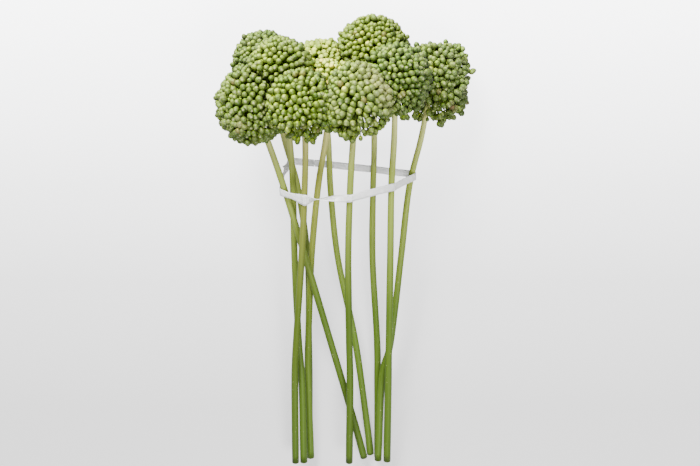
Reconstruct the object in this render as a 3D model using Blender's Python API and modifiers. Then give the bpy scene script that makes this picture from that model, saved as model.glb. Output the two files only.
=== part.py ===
"""A bunch of ten allium heads in green bud on cut stems, with a ribbon round the stems, lying down.

X runs across the bunch, +Y along the stems towards the heads, and +Z up from the surface that the
bunch lies on. The origin is in the middle of the bunch's box, at that surface. Lengths are written
in millimetres and multiplied by MM, because the model is in metres.

A real head carries about 500 buds of 6.5 mm. Here each head is one closed body whose surface is
raised into 260 larger buds by a rule, and heads that press on each other are flat where they meet.
"""
import math
import random

import bmesh
import bpy
from mathutils import Vector
from mathutils.geometry import convex_hull_2d

# Driving dimensions
MM = 0.001
GAP = 0.3                      # free space between pieces that touch
MIDDLE_SHIFT = (6.6, 40.7, 0)  # brings the middle of the bunch's box to the origin

BUDS_ON_A_HEAD = 260
BUD_HEIGHT = 4.4               # from the groove between two buds to the top of a bud
BUD_UNEVENNESS = 1.4           # how far some buds stand lower than others
PRESSED_FLAT = 1.0             # where a head is squeezed by more than this, no bud stands out
BUD_SCATTER = 0.16             # how far a bud strays from its place, as part of their spacing
GOLDEN_ANGLE = math.pi * (3.0 - math.sqrt(5.0))

NECK_RADIUS = 3.1              # stem, just below the head
CUT_RADIUS = 4.3               # stem, at the cut end
STEM_RINGS = 14
SOCKET_DEPTH = 9.0             # how far the stem goes into the head
SOCKET_MARGIN = 3.4            # from the stem's skin to the socket's rim
SOCKET_SIDES = 8
SOCKET_TAPER = 0.85            # the socket's floor, as part of the angle of its rim
BUDS_CLEAR_OF_RIM = 0.5        # from the rim to the nearest bud, as part of the buds' spacing
STEM_PASSES_NEAR = 1.5         # a stem this many head radii away no longer presses on a head
PASSING_STEM_POINTS = 160
FIRST_SEED = 100               # the first head's random seed; each next head takes the next number

RIBBON_WIDTH = 8.5
RIBBON_THICKNESS = 0.7
RIBBON_MIDDLE = (0.0, 55.0, 70.0)
RIBBON_FACES = (-0.03, 1.0, 0.14)  # direction that the loop's hole looks in
RIBBON_WARP = 0.0026               # how fast opposite corners of the loop rise and fall, per mm
RIBBON_SIDES_ROUND_STEM = 20
STEM_SLANT = 1.03              # a slanting stem's section is this much longer than it is wide

# Colours of the buds and of the stems' skin
FRESH_GREEN = (0.34, 0.46, 0.17)
GREY_GREEN = (0.33, 0.42, 0.22)
YELLOW_GREEN = (0.50, 0.58, 0.18)
STEM_GREEN = (0.22, 0.30, 0.10)
STEM_OLIVE = (0.30, 0.30, 0.14)

# Each allium: the middle of its head, the head's half sizes across, along and deep, the colour of
# its buds and of its stem's skin, and its stem's way points from below the head to the cut end, in
# millimetres.
ALLIUMS = {
    "left_front": {
        "middle": (-104, 146, 108), "half": (40, 43, 41), "buds": FRESH_GREEN, "skin": STEM_GREEN,
        "stem": [
            (-87, 102, 97), (-71, 46, 84), (-50, -39, 62),
            (-24, -144, 40), (5, -260, 21), (17, -311, 14),
        ],
    },
    "left_back": {
        "middle": (-93, 175, 36), "half": (40, 40, 39), "buds": GREY_GREEN, "skin": STEM_GREEN,
        "stem": [
            (-72, 87, 35), (-59, 34, 30), (-49, -55, 21),
            (-49, -158, 12), (-49, -212, 8), (-50, -311, 4.5),
        ],
    },
    "left_middle": {
        "middle": (-73, 180, 94), "half": (37, 38, 37), "buds": FRESH_GREEN, "skin": STEM_GREEN,
        "stem": [
            (-65, 98, 81), (-63, 45, 69), (-63, -45, 50),
            (-60, -149, 37), (-57, -202, 32), (-56, -311, 26),
        ],
    },
    "centre_front": {
        "middle": (-50, 154, 140), "half": (38, 38, 38), "buds": YELLOW_GREEN, "skin": STEM_OLIVE,
        "stem": [
            (-47, 108, 122), (-49, 51, 103), (-54, -34, 78),
            (-62, -139, 54), (-65, -199, 40), (-66, -311, 27),
        ],
    },
    "centre_middle": {
        "middle": (-20, 154, 84), "half": (38, 38, 36), "buds": YELLOW_GREEN, "skin": STEM_OLIVE,
        "stem": [
            (-27, 98, 72), (-36, 40, 60), (-44, -46, 43),
            (-49, -151, 26), (-50, -205, 20), (-48, -311, 14),
        ],
    },
    "centre_back": {
        "middle": (-31, 167, 35.5), "half": (39, 39, 38.5), "buds": FRESH_GREEN, "skin": STEM_GREEN,
        "stem": [
            (-24, 90, 37), (-22, 32, 32), (-14, -52, 24),
            (6, -157, 15), (20, -265, 7), (25, -311, 4.5),
        ],
    },
    "right_front": {
        "middle": (8, 157, 140), "half": (38, 42, 40), "buds": GREY_GREEN, "skin": STEM_GREEN,
        "stem": [
            (3, 110, 127), (0, 53, 111), (-2, -31, 88),
            (-1, -136, 61), (0, -196, 47), (-1, -311, 27),
        ],
    },
    "top": {
        "middle": (25, 190, 38), "half": (41, 41, 41), "buds": FRESH_GREEN, "skin": STEM_GREEN,
        "stem": [
            (27, 91, 43), (26, 34, 38), (26, -50, 30),
            (32, -155, 20), (33, -209, 15), (34, -311, 12),
        ],
    },
    "right_middle": {
        "middle": (48, 175, 112), "half": (37, 40, 38), "buds": GREY_GREEN, "skin": STEM_GREEN,
        "stem": [
            (47, 105, 102), (45, 52, 92), (45, -33, 78),
            (45, -141, 57), (45, -193, 46), (45, -311, 23),
        ],
    },
    "right_side": {
        "middle": (90, 157, 40), "half": (41, 44, 43), "buds": GREY_GREEN, "skin": STEM_GREEN,
        "stem": [
            (78, 96, 53), (66, 42, 54), (58, -44, 46),
            (48, -150, 34), (38, -200, 28), (34, -311, 21),
        ],
    },
}


def clear_scene():
    """Remove every object, so that the scene holds only the bunch."""
    for thing in list(bpy.data.objects):
        bpy.data.objects.remove(thing, do_unlink=True)


def make_material(name, colour, roughness):
    """Return a Principled material with one colour."""
    material = bpy.data.materials.new(name)
    material.use_nodes = True
    shader = material.node_tree.nodes["Principled BSDF"]
    shader.inputs["Base Color"].default_value = (*colour, 1.0)
    shader.inputs["Roughness"].default_value = roughness
    return material


def smooth_path(way_points, count):
    """Return points at even steps on a Catmull-Rom curve through the way points."""
    ends = [2 * way_points[0] - way_points[1], *way_points, 2 * way_points[-1] - way_points[-2]]
    spans = len(way_points) - 1
    path = []
    for step in range(count):
        place = step * spans / (count - 1)
        first = min(int(place), spans - 1)
        t = place - first
        a, b, c, d = ends[first:first + 4]
        bend = 2 * a - 5 * b + 4 * c - d
        twist = 3 * (b - c) + d - a
        path.append(0.5 * (2 * b + (c - a) * t + bend * t * t + twist * t * t * t))
    return path


def stem_axis(name):
    """Return the direction from the middle of a head to its stem."""
    allium = ALLIUMS[name]
    return (Vector(allium["stem"][0]) - Vector(allium["middle"])).normalized()


def pressed_planes(name):
    """Return the planes that press on a head, each as its direction and its distance from the middle."""
    middle = Vector(ALLIUMS[name]["middle"])
    radius = sum(ALLIUMS[name]["half"]) / 3
    planes = [(Vector((0, 0, -1)), middle.z)]
    for other in ALLIUMS:
        if other == name:
            continue
        away = Vector(ALLIUMS[other]["middle"]) - middle
        other_radius = sum(ALLIUMS[other]["half"]) / 3
        if away.length < radius + other_radius:
            share = (away.length_squared + radius ** 2 - other_radius ** 2) / (2 * away.length)
            planes.append((away.normalized(), share - GAP / 2))
        planes += stem_planes(middle, radius, other)
    return planes


def stem_planes(middle, radius, other):
    """Return the plane that keeps a head clear of another head's stem, if that stem passes near it."""
    way_points = [Vector(ALLIUMS[other]["middle"])] + [Vector(point) for point in ALLIUMS[other]["stem"]]
    near = [point - middle for point in smooth_path(way_points, PASSING_STEM_POINTS)]
    near = [point for point in near if point.length < STEM_PASSES_NEAR * radius]
    if not near:
        return []
    direction = min(near, key=lambda point: point.length).normalized()
    distance = min(point.dot(direction) for point in near) - CUT_RADIUS - GAP
    return [(direction, distance)]


def head_radius(direction, half, planes, lowered):
    """Return how far a head reaches in a direction, inside its egg shape and flat where it is pressed."""
    egg = 1 / math.sqrt(sum((part / size) ** 2 for part, size in zip(direction, half)))
    pressed = min((distance / direction.dot(normal) for normal, distance in planes
                   if direction.dot(normal) > 0), default=egg)
    if pressed < egg - PRESSED_FLAT:
        return pressed
    return min(egg - lowered, pressed)


def bud_directions(axis, free_angle, rng):
    """Return evenly scattered directions on a sphere, with none near the stem."""
    turn = Vector((0, 0, 1)).rotation_difference(axis)
    scatter = BUD_SCATTER * math.sqrt(4 * math.pi / BUDS_ON_A_HEAD)
    directions = []
    for number in range(BUDS_ON_A_HEAD):
        height = 1 - (2 * number + 1) / BUDS_ON_A_HEAD
        ring = math.sqrt(1 - height * height)
        angle = number * GOLDEN_ANGLE
        spot = Vector((ring * math.cos(angle), ring * math.sin(angle), height))
        spot += Vector((rng.gauss(0, scatter), rng.gauss(0, scatter), rng.gauss(0, scatter)))
        direction = turn @ spot.normalized()
        if direction.angle(axis) > free_angle:
            directions.append(direction)
    return directions


def ring_directions(axis, angle):
    """Return the corners of the stem's socket, at one angle from its axis."""
    turn = Vector((0, 0, 1)).rotation_difference(axis)
    corners = []
    for side in range(SOCKET_SIDES):
        around = 2 * math.pi * side / SOCKET_SIDES
        flat = math.sin(angle)
        corners.append(turn @ Vector((flat * math.cos(around), flat * math.sin(around), math.cos(angle))))
    return corners


def socket_shape(name, planes):
    """Return the angle of the socket's rim, its corners, and how far its floor is from the middle."""
    half = ALLIUMS[name]["half"]
    axis = stem_axis(name)
    angle = math.atan((NECK_RADIUS + SOCKET_MARGIN) / head_radius(axis, half, planes, BUD_HEIGHT / 2))
    rim = [spot * head_radius(spot, half, planes, BUD_HEIGHT / 2) for spot in ring_directions(axis, angle)]
    return angle, rim, min(corner.length for corner in rim) - SOCKET_DEPTH


def make_head(name, number, collection):
    """Make one head: buds and the grooves between them, raised on a squeezed egg, with a socket."""
    allium = ALLIUMS[name]
    middle = Vector(allium["middle"])
    planes = pressed_planes(name)
    axis = stem_axis(name)
    rim_angle, rim, floor = socket_shape(name, planes)
    bud_spacing = math.sqrt(4 * math.pi / BUDS_ON_A_HEAD)
    free_angle = rim_angle + BUDS_CLEAR_OF_RIM * bud_spacing
    rng = random.Random(FIRST_SEED + number)

    mesh = bmesh.new()
    buds = [mesh.verts.new(spot) for spot in bud_directions(axis, free_angle, rng)]
    rim_corners = [mesh.verts.new(spot.normalized()) for spot in rim]
    floor_spots = [axis, *ring_directions(axis, SOCKET_TAPER * rim_angle)]
    floor_corners = [mesh.verts.new(spot) for spot in floor_spots]
    bmesh.ops.convex_hull(mesh, input=mesh.verts[:])

    bud_set = set(buds)
    bud_faces = [face for face in mesh.faces if bud_set.issuperset(face.verts)]
    face_set = set(bud_faces)
    ridges = [edge for edge in mesh.edges if face_set.issuperset(edge.link_faces)]
    grooves = bmesh.ops.poke(mesh, faces=bud_faces)["verts"]
    bmesh.ops.rotate_edges(mesh, edges=ridges, use_ccw=False)

    for corner in buds:
        lowered = rng.uniform(0, BUD_UNEVENNESS)
        direction = corner.co.normalized()
        corner.co = middle + direction * head_radius(direction, allium["half"], planes, lowered)
    for corner in grooves:
        direction = corner.co.normalized()
        corner.co = middle + direction * head_radius(direction, allium["half"], planes, BUD_HEIGHT)
    for corner, spot in zip(rim_corners, rim):
        corner.co = middle + spot
    for corner in floor_corners:
        corner.co = middle + corner.co * floor
    bmesh.ops.scale(mesh, vec=(MM, MM, MM), verts=mesh.verts)
    bmesh.ops.recalc_face_normals(mesh, faces=mesh.faces)

    data = bpy.data.meshes.new("head_" + name)
    mesh.to_mesh(data)
    mesh.free()
    data.materials.append(make_material("buds_" + name, allium["buds"], 0.6))
    head = bpy.data.objects.new("head_" + name, data)
    collection.objects.link(head)
    return head


def stem_path(name):
    """Return a stem's path from the floor of its socket to the cut end, with the radius at each point."""
    allium = ALLIUMS[name]
    floor = socket_shape(name, pressed_planes(name))[2]
    start = Vector(allium["middle"]) + stem_axis(name) * (floor + GAP)
    path = smooth_path([start] + [Vector(point) for point in allium["stem"]], STEM_RINGS)
    radii = [NECK_RADIUS + (CUT_RADIUS - NECK_RADIUS) * step / (STEM_RINGS - 1) for step in range(STEM_RINGS)]
    return path, radii


def make_stem(name, collection):
    """Make one stem as a tapered round tube along its path."""
    path, radii = stem_path(name)
    curve = bpy.data.curves.new("stem_" + name, "CURVE")
    curve.dimensions = "3D"
    curve.bevel_depth = NECK_RADIUS * MM
    curve.bevel_resolution = 2
    curve.use_fill_caps = True
    spline = curve.splines.new("POLY")
    spline.points.add(len(path) - 1)
    for point, place, radius in zip(spline.points, path, radii):
        point.co = (*(place * MM), 1)
        point.radius = radius / NECK_RADIUS
    curve.materials.append(make_material("skin_" + name, ALLIUMS[name]["skin"], 0.5))
    stem = bpy.data.objects.new("stem_" + name, curve)
    collection.objects.link(stem)
    return stem


def ribbon_rise(spot, normal):
    """Return how far a point is above the warped surface in which the ribbon's middle line lies."""
    arm = spot - Vector(RIBBON_MIDDLE)
    return arm.dot(normal) - RIBBON_WARP * arm.x * arm.z


def crossing(path, radii, normal, edge):
    """Return where a stem passes one edge of the ribbon, and the stem's radius there."""
    for here, there, radius in zip(path, path[1:], radii):
        before = ribbon_rise(here, normal) - edge
        after = ribbon_rise(there, normal) - edge
        if before >= 0 > after:
            return here.lerp(there, before / (before - after)), radius
    raise ValueError("a stem doesn't reach the ribbon")


def make_ribbon(collection):
    """Make the ribbon: a closed strip round the outermost stems, as tight as they allow."""
    origin = Vector(RIBBON_MIDDLE)
    normal = Vector(RIBBON_FACES).normalized()
    across = Vector((1, 0, 0)).cross(normal).normalized()
    side = normal.cross(across)
    half_width = RIBBON_WIDTH / 2
    outline = []
    for name in ALLIUMS:
        path, radii = stem_path(name)
        for edge in (-half_width, half_width):
            place, radius = crossing(path, radii, normal, edge)
            reach = radius * STEM_SLANT + GAP + RIBBON_THICKNESS / 2
            for step in range(RIBBON_SIDES_ROUND_STEM):
                angle = 2 * math.pi * step / RIBBON_SIDES_ROUND_STEM
                spot = place - origin + reach * (math.cos(angle) * side + math.sin(angle) * across)
                outline.append((spot.dot(side), spot.dot(across)))
    loop = [outline[index] for index in convex_hull_2d(outline)]

    mesh = bmesh.new()
    corners = []
    for x, y in loop:
        spot = origin + x * side + y * across
        corners.append(mesh.verts.new((spot - (ribbon_rise(spot, normal) + half_width) * normal) * MM))
    edges = [mesh.edges.new((corner, corners[index - 1])) for index, corner in enumerate(corners)]
    strip = bmesh.ops.extrude_edge_only(mesh, edges=edges)["geom"]
    far_corners = [part for part in strip if isinstance(part, bmesh.types.BMVert)]
    bmesh.ops.translate(mesh, vec=normal * RIBBON_WIDTH * MM, verts=far_corners)
    bmesh.ops.recalc_face_normals(mesh, faces=mesh.faces)
    data = bpy.data.meshes.new("ribbon")
    mesh.to_mesh(data)
    mesh.free()
    data.materials.append(make_material("ribbon_white", (0.86, 0.86, 0.86), 0.4))
    ribbon = bpy.data.objects.new("ribbon", data)
    thickness = ribbon.modifiers.new("thickness", "SOLIDIFY")
    thickness.thickness = RIBBON_THICKNESS * MM
    thickness.offset = 0
    collection.objects.link(ribbon)
    return ribbon


def main():
    """Make the ten alliums and their ribbon, all held by one empty at the middle of the bunch."""
    clear_scene()
    collection = bpy.data.collections.new("allium_bunch")
    bpy.context.scene.collection.children.link(collection)
    bunch = bpy.data.objects.new("allium_bunch", None)
    bunch.location = Vector(MIDDLE_SHIFT) * MM
    collection.objects.link(bunch)
    for number, name in enumerate(ALLIUMS):
        make_head(name, number, collection).parent = bunch
        make_stem(name, collection).parent = bunch
    make_ribbon(collection).parent = bunch


main()
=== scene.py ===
import math

import bpy
import numpy as np
from mathutils import Matrix, Vector
from mathutils.geometry import convex_hull_2d


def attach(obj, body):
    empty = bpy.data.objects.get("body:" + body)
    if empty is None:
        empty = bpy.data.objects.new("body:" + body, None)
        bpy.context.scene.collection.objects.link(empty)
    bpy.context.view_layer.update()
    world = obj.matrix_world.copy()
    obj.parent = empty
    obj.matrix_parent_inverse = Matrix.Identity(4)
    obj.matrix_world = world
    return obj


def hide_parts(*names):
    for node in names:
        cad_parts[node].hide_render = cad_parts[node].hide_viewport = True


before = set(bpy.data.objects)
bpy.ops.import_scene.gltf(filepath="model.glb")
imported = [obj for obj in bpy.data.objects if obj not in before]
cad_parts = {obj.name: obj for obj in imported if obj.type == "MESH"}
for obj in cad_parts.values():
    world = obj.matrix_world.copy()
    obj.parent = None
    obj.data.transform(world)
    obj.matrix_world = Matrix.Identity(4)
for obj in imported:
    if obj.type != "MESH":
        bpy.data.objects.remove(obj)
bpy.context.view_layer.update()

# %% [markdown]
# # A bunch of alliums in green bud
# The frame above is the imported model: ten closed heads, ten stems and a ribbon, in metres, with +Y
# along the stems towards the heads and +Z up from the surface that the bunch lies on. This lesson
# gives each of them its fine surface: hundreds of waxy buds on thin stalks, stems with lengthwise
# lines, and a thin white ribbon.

# %% [markdown]
# ## The plan of the bunch
# Every head and stem is placed by the same driving dimensions as the solids: the middle of the head,
# its half sizes across, along and deep, and way points down the stem, in millimetres. Working them
# out again from the solids would be possible, but a head pressed flat by its neighbours no longer
# shows where its own middle is, so the plan is written out.

# %% Driving dimensions of the bunch
MM = 0.001
PLAN_SHIFT = np.array([6.6, 40.7, 0.0])  # from the plan's origin to the frame's

HEADS = {
    "left_front": {"middle": (-104, 146, 108), "half": (40, 43, 41)},
    "left_back": {"middle": (-93, 175, 36), "half": (40, 40, 39)},
    "left_middle": {"middle": (-73, 180, 94), "half": (37, 38, 37)},
    "centre_front": {"middle": (-50, 154, 140), "half": (38, 38, 38)},
    "centre_middle": {"middle": (-20, 154, 84), "half": (38, 38, 36)},
    "centre_back": {"middle": (-31, 167, 35.5), "half": (39, 39, 38.5)},
    "right_front": {"middle": (8, 157, 140), "half": (38, 42, 40)},
    "top": {"middle": (25, 190, 38), "half": (41, 41, 41)},
    "right_middle": {"middle": (48, 175, 112), "half": (37, 40, 38)},
    "right_side": {"middle": (90, 157, 40), "half": (41, 44, 43)},
}
STEMS = {
    "left_front": [(-87, 102, 97), (-71, 46, 84), (-50, -39, 62), (-24, -144, 40), (5, -260, 21),
                   (17, -311, 14)],
    "left_back": [(-72, 87, 35), (-59, 34, 30), (-49, -55, 21), (-49, -158, 12), (-49, -212, 8),
                  (-50, -311, 4.5)],
    "left_middle": [(-65, 98, 81), (-63, 45, 69), (-63, -45, 50), (-60, -149, 37), (-57, -202, 32),
                    (-56, -311, 26)],
    "centre_front": [(-47, 108, 122), (-49, 51, 103), (-54, -34, 78), (-62, -139, 54), (-65, -199, 40),
                     (-66, -311, 27)],
    "centre_middle": [(-27, 98, 72), (-36, 40, 60), (-44, -46, 43), (-49, -151, 26), (-50, -205, 20),
                      (-48, -311, 14)],
    "centre_back": [(-24, 90, 37), (-22, 32, 32), (-14, -52, 24), (6, -157, 15), (20, -265, 7),
                    (25, -311, 4.5)],
    "right_front": [(3, 110, 127), (0, 53, 111), (-2, -31, 88), (-1, -136, 61), (0, -196, 47),
                    (-1, -311, 27)],
    "top": [(27, 91, 43), (26, 34, 38), (26, -50, 30), (32, -155, 20), (33, -209, 15), (34, -311, 12)],
    "right_middle": [(47, 105, 102), (45, 52, 92), (45, -33, 78), (45, -141, 57), (45, -193, 46),
                     (45, -311, 23)],
    "right_side": [(78, 96, 53), (66, 42, 54), (58, -44, 46), (48, -150, 34), (38, -200, 28),
                   (34, -311, 21)],
}
print(len(HEADS), "heads and", len(STEMS), "stems")

# %% [markdown]
# ## The camera
# The photograph looks at the bunch a little from above, with the heads nearest to the lens. Lying
# down, that is a camera 1.5 m over the bunch, past the heads, looking down and back along the stems.
# A long lens keeps the stems nearly parallel. The camera comes first, so that every later piece can
# be judged from the right place.

# %% Put the camera over the bunch
IMAGE_WIDTH = 700  # pixels
FOCAL_PIXELS = 1364  # the lens's focal length in the same pixels
SENSOR_WIDTH = 36  # millimetres
CAMERA_DISTANCE = 1500
CAMERA_PITCH = math.radians(17.5)
CAMERA_TARGET = PLAN_SHIFT + np.array([0.0, 0.0, 90.0])

forward = np.array([0.0, -math.sin(CAMERA_PITCH), -math.cos(CAMERA_PITCH)])
upward = np.array([0.0, math.cos(CAMERA_PITCH), -math.sin(CAMERA_PITCH)])
rightward = np.array([1.0, 0.0, 0.0])

camera_data = bpy.data.cameras.new("camera")
camera_data.sensor_width = SENSOR_WIDTH
camera_data.lens = FOCAL_PIXELS * SENSOR_WIDTH / IMAGE_WIDTH
camera = bpy.data.objects.new("camera", camera_data)
camera.matrix_world = Matrix((rightward, upward, -forward)).transposed().to_4x4()
camera.location = Vector((CAMERA_TARGET - CAMERA_DISTANCE * forward) * MM)
bpy.context.scene.collection.objects.link(camera)
bpy.context.scene.camera = camera
print("lens", round(camera_data.lens, 1), "mm, camera at", [round(part, 3) for part in camera.location])

# %% [markdown]
# ## Helpers for meshes
# A head needs hundreds of small bodies in one mesh. Adding them as Blender objects would be slow, so
# the points are worked out in numpy, all buds at once, and handed over as one mesh. Each point also
# carries a few numbers, such as how ripe its bud is, which the materials read as attributes. Stalks,
# stems and the ribbon are rings of points in a row, and share one helper for their faces.

# %% Make one piece from arrays
def unit(vectors):
    """Return the vectors, each with length one."""
    vectors = np.asarray(vectors, dtype=float)
    return vectors / np.linalg.norm(vectors, axis=-1, keepdims=True)


def even_turns(count):
    """Return even steps of one full turn, in radians."""
    return 2 * math.pi * np.arange(count) / count


def new_piece(name, points, faces, values, material):
    """Make a smooth mesh piece from points in plan millimetres, with one number per point for each value."""
    mesh = bpy.data.meshes.new(name)
    mesh.from_pydata((np.asarray(points) + PLAN_SHIFT) * MM, [], faces)
    for value_name, numbers in values.items():
        layer = mesh.attributes.new(value_name, "FLOAT", "POINT")
        layer.data.foreach_set("value", np.asarray(numbers, dtype=np.float32))
    mesh.polygons.foreach_set("use_smooth", [True] * len(mesh.polygons))
    mesh.materials.append(material)
    piece = bpy.data.objects.new(name, mesh)
    bpy.context.scene.collection.objects.link(piece)
    return piece


def tube_faces(sides, rings, closed=False):
    """Return the faces between rings of points. A closed tube joins its last ring to its first."""
    faces = []
    for ring in range(rings if closed else rings - 1):
        low = ring * sides
        high = (ring + 1) % rings * sides
        for side in range(sides):
            after = (side + 1) % sides
            faces.append((low + side, low + after, high + after, high + side))
    return faces


def repeat_faces(faces, count, points_each, first_point):
    """Return the faces of one body, repeated for a row of bodies."""
    faces = [np.array(face) for face in faces]
    starts = first_point + points_each * np.arange(count)
    return [tuple((face + start).tolist()) for start in starts for face in faces]


# %% [markdown]
# ## Smooth paths
# The stems grow in long even curves. A Catmull-Rom curve passes through every way point and needs no
# handles, so the same few points that placed the solids also place the fine stems.

# %% Smooth curves through way points
STEM_START = 27.0  # mm from a head's middle, still inside it, to where its stem's curve begins


def smooth_path(way_points, count):
    """Return points at even steps on a Catmull-Rom curve through the way points."""
    way_points = [np.asarray(point, dtype=float) for point in way_points]
    ends = [2 * way_points[0] - way_points[1], *way_points, 2 * way_points[-1] - way_points[-2]]
    spans = len(way_points) - 1
    path = []
    for step in range(count):
        place = step * spans / (count - 1)
        first = min(int(place), spans - 1)
        t = place - first
        a, b, c, d = ends[first:first + 4]
        bend = 2 * a - 5 * b + 4 * c - d
        twist = 3 * (b - c) + d - a
        path.append(0.5 * (2 * b + (c - a) * t + bend * t * t + twist * t * t * t))
    return np.array(path)


def middle_of(name):
    """Return the middle of a head, in plan millimetres."""
    return np.array(HEADS[name]["middle"], dtype=float)


def stem_axis(name):
    """Return the direction from the middle of a head to its stem."""
    return unit(STEMS[name][0] - middle_of(name))


def stem_path(name, count):
    """Return points down the middle of a stem, from inside its head to the cut."""
    return smooth_path([middle_of(name) + stem_axis(name) * STEM_START, *STEMS[name]], count)


# %% [markdown]
# ## How the heads press on each other
# Ten heads of 80 mm don't fit side by side in a hand's breadth, so they push each other flat where
# they meet. Each contact is a plane between two middles, nearer to the smaller head. A bud is then
# never placed beyond any plane that presses on its head, and the bunch needs no simulation.

# %% The planes that press on a head
GAP = 0.3  # mm between neighbours
CUT_RADIUS = 4.3  # mm, at the cut, where a stem is thickest
STEM_PASSES_NEAR = 1.5  # a stem this many head radii away no longer presses on a head
PASSING_STEM_POINTS = 160


def passing_stem_plane(middle, radius, other):
    """Return the plane that keeps a head clear of another head's stem, if that stem is near."""
    path = smooth_path([middle_of(other), *STEMS[other]], PASSING_STEM_POINTS) - middle
    near = path[np.linalg.norm(path, axis=1) < STEM_PASSES_NEAR * radius]
    if len(near) == 0:
        return []
    direction = unit(near[np.argmin(np.linalg.norm(near, axis=1))])
    return [(direction, (near @ direction).min() - CUT_RADIUS - GAP)]


def pressed_planes(name):
    """Return the directions of the planes on a head, and their distances from its middle."""
    middle = middle_of(name)
    radius = np.mean(HEADS[name]["half"])
    planes = [(np.array([0.0, 0.0, -1.0]), middle[2])]  # what the bunch lies on
    for other in HEADS:
        if other == name:
            continue
        away = middle_of(other) - middle
        length = np.linalg.norm(away)
        other_radius = np.mean(HEADS[other]["half"])
        if length < radius + other_radius:
            share = (length ** 2 + radius ** 2 - other_radius ** 2) / (2 * length)
            planes.append((away / length, share - GAP / 2))
        planes += passing_stem_plane(middle, radius, other)
    directions, distances = zip(*planes)
    return np.array(directions), np.array(distances)


for head_name in HEADS:
    print(head_name, "is pressed by", len(pressed_planes(head_name)[1]), "planes")

# %% [markdown]
# ## The surface that the buds fill
# A head is an egg that the planes cut into. A hard cut would leave a sharp edge, which no bunch of
# buds has, so the shortest reach is blended over a millimetre or two. The pushed-aside buds well up
# beside it, which half fills the valley between two heads. The same formula also gives the way the
# surface faces, which a mesh would give only after it was built.

# %% Reach of a head in any direction
EDGE_SOFTNESS = 1.6  # mm over which a pressed edge is rounded
LEAST_FACING = 0.05  # a plane seen more edge-on than this doesn't press
OUT_OF_REACH = 1000.0  # mm, more than any reach
SEAM_RISE = 4.0  # mm that the buds well up beside a pressed side
SEAM_WIDTH = 6.0  # mm over which that dies away


def on_surface(directions, half, planes, inset):
    """Return where bodies lie in each direction, the way the surface faces there, and how pressed it is."""
    half = np.array(half, dtype=float)
    normals, distances = planes
    egg = 1 / np.linalg.norm(directions / half, axis=1) - inset
    facing = directions @ normals.T
    room = (distances[None, :] - inset[:, None]) / np.maximum(facing, LEAST_FACING)
    room = np.where(facing > LEAST_FACING, room, OUT_OF_REACH)
    egg = egg + SEAM_RISE * np.exp(-np.abs(room.min(axis=1, initial=OUT_OF_REACH) - egg) / SEAM_WIDTH)
    lengths = np.column_stack([egg, room])
    shortest = lengths.min(axis=1, keepdims=True)
    weight = np.exp((shortest - lengths) / EDGE_SOFTNESS)
    share = weight / weight.sum(axis=1, keepdims=True)
    length = shortest[:, 0] - EDGE_SOFTNESS * np.log(weight.sum(axis=1))
    outward = unit(share[:, :1] * unit(directions / half ** 2) + share[:, 1:] @ normals)
    return directions * length[:, None], outward, 1 - share[:, 0]


# %% [markdown]
# ## Where the buds sit
# The buds of a real head grow on hundreds of stalks of nearly one length, and each pushes the next
# aside until they fill the ball. The same happens here. Buds are dealt out evenly over the surface,
# so that a pressed side gets fewer, and then push each other apart for some steps. Stopping early
# keeps the slight disorder that a perfect packing would lack.

# %% Deal buds over a head and let them push each other apart
GOLDEN_ANGLE = math.pi * (3.0 - math.sqrt(5.0))
DENSE_DIRECTIONS = 6000
STEEPEST_COSINE = 0.2  # cosine of the steepest slant that is reckoned with
DEAL_SPREAD = 0.06  # how unevenly the buds are dealt
FILL = 1.04  # how much of the surface the buds' own circles cover
PUSH_STEPS = 24
PUSH_STRENGTH = 0.2
PUSH_REACH = 1.3  # buds push from this many summed radii


def spiral(count):
    """Return evenly spread directions on a sphere."""
    number = np.arange(count)
    turn = number * GOLDEN_ANGLE
    height = 1 - (2 * number + 1) / count
    ring = np.sqrt(1 - height ** 2)
    return np.stack([ring * np.cos(turn), ring * np.sin(turn), height], axis=1)


def deal_directions(half, planes, radius, fill, rng):
    """Return directions of buds, dealt evenly over a head's surface at the depth of their middles."""
    dense = spiral(DENSE_DIRECTIONS)
    places, outward, _ = on_surface(dense, half, planes, np.full(DENSE_DIRECTIONS, radius))
    slant = np.maximum(STEEPEST_COSINE, (dense * outward).sum(axis=1))
    area = 4 * math.pi / DENSE_DIRECTIONS * (places ** 2).sum(axis=1) / slant
    count = int(fill * area.sum() / (math.pi * radius ** 2))
    picks = np.searchsorted(np.cumsum(area), (np.arange(count) + rng.random()) / count * area.sum())
    uneven = rng.normal(0, DEAL_SPREAD, (count, 3))
    return unit(dense[np.minimum(picks, DENSE_DIRECTIONS - 1)] + uneven)


def push_apart(directions, radii, half, planes):
    """Return the directions after the buds have pushed each other apart on the head's surface."""
    reach = PUSH_REACH * (radii[:, None] + radii[None, :])
    for _ in range(PUSH_STEPS):
        places, _, _ = on_surface(directions, half, planes, radii)
        apart = places[:, None, :] - places[None, :, :]
        distance = np.linalg.norm(apart, axis=2)
        np.fill_diagonal(distance, np.inf)
        push = np.clip(reach - distance, 0, None) / distance * PUSH_STRENGTH
        directions = unit(places + (apart * push[:, :, None]).sum(axis=1))
    return directions


# %% [markdown]
# ## One bud
# A bud is a small capsule of three faint lobes, a little longer than wide, that narrows to the stalk
# below and to a blunt tip. A profile turned round an axis gives it in a few rings. Twelve sides are
# the fewest that still show three lobes, and every bud of a head is this same grid, turned,
# stretched and moved.

# %% The shape of one bud, pointing along +Z
# Height and radius of each ring, as shares of the bud's own radius.
BUD_PROFILE = [(-0.92, 0.36), (-0.62, 0.79), (-0.08, 1.0), (0.48, 0.87), (0.86, 0.47)]
BUD_BOTTOM = -1.02
BUD_TIP = 1.08
BUD_SIDES = 12
SMALL_BUD_SIDES = 8
LOBES = 3
LOBE_DEPTH = 0.035


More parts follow.
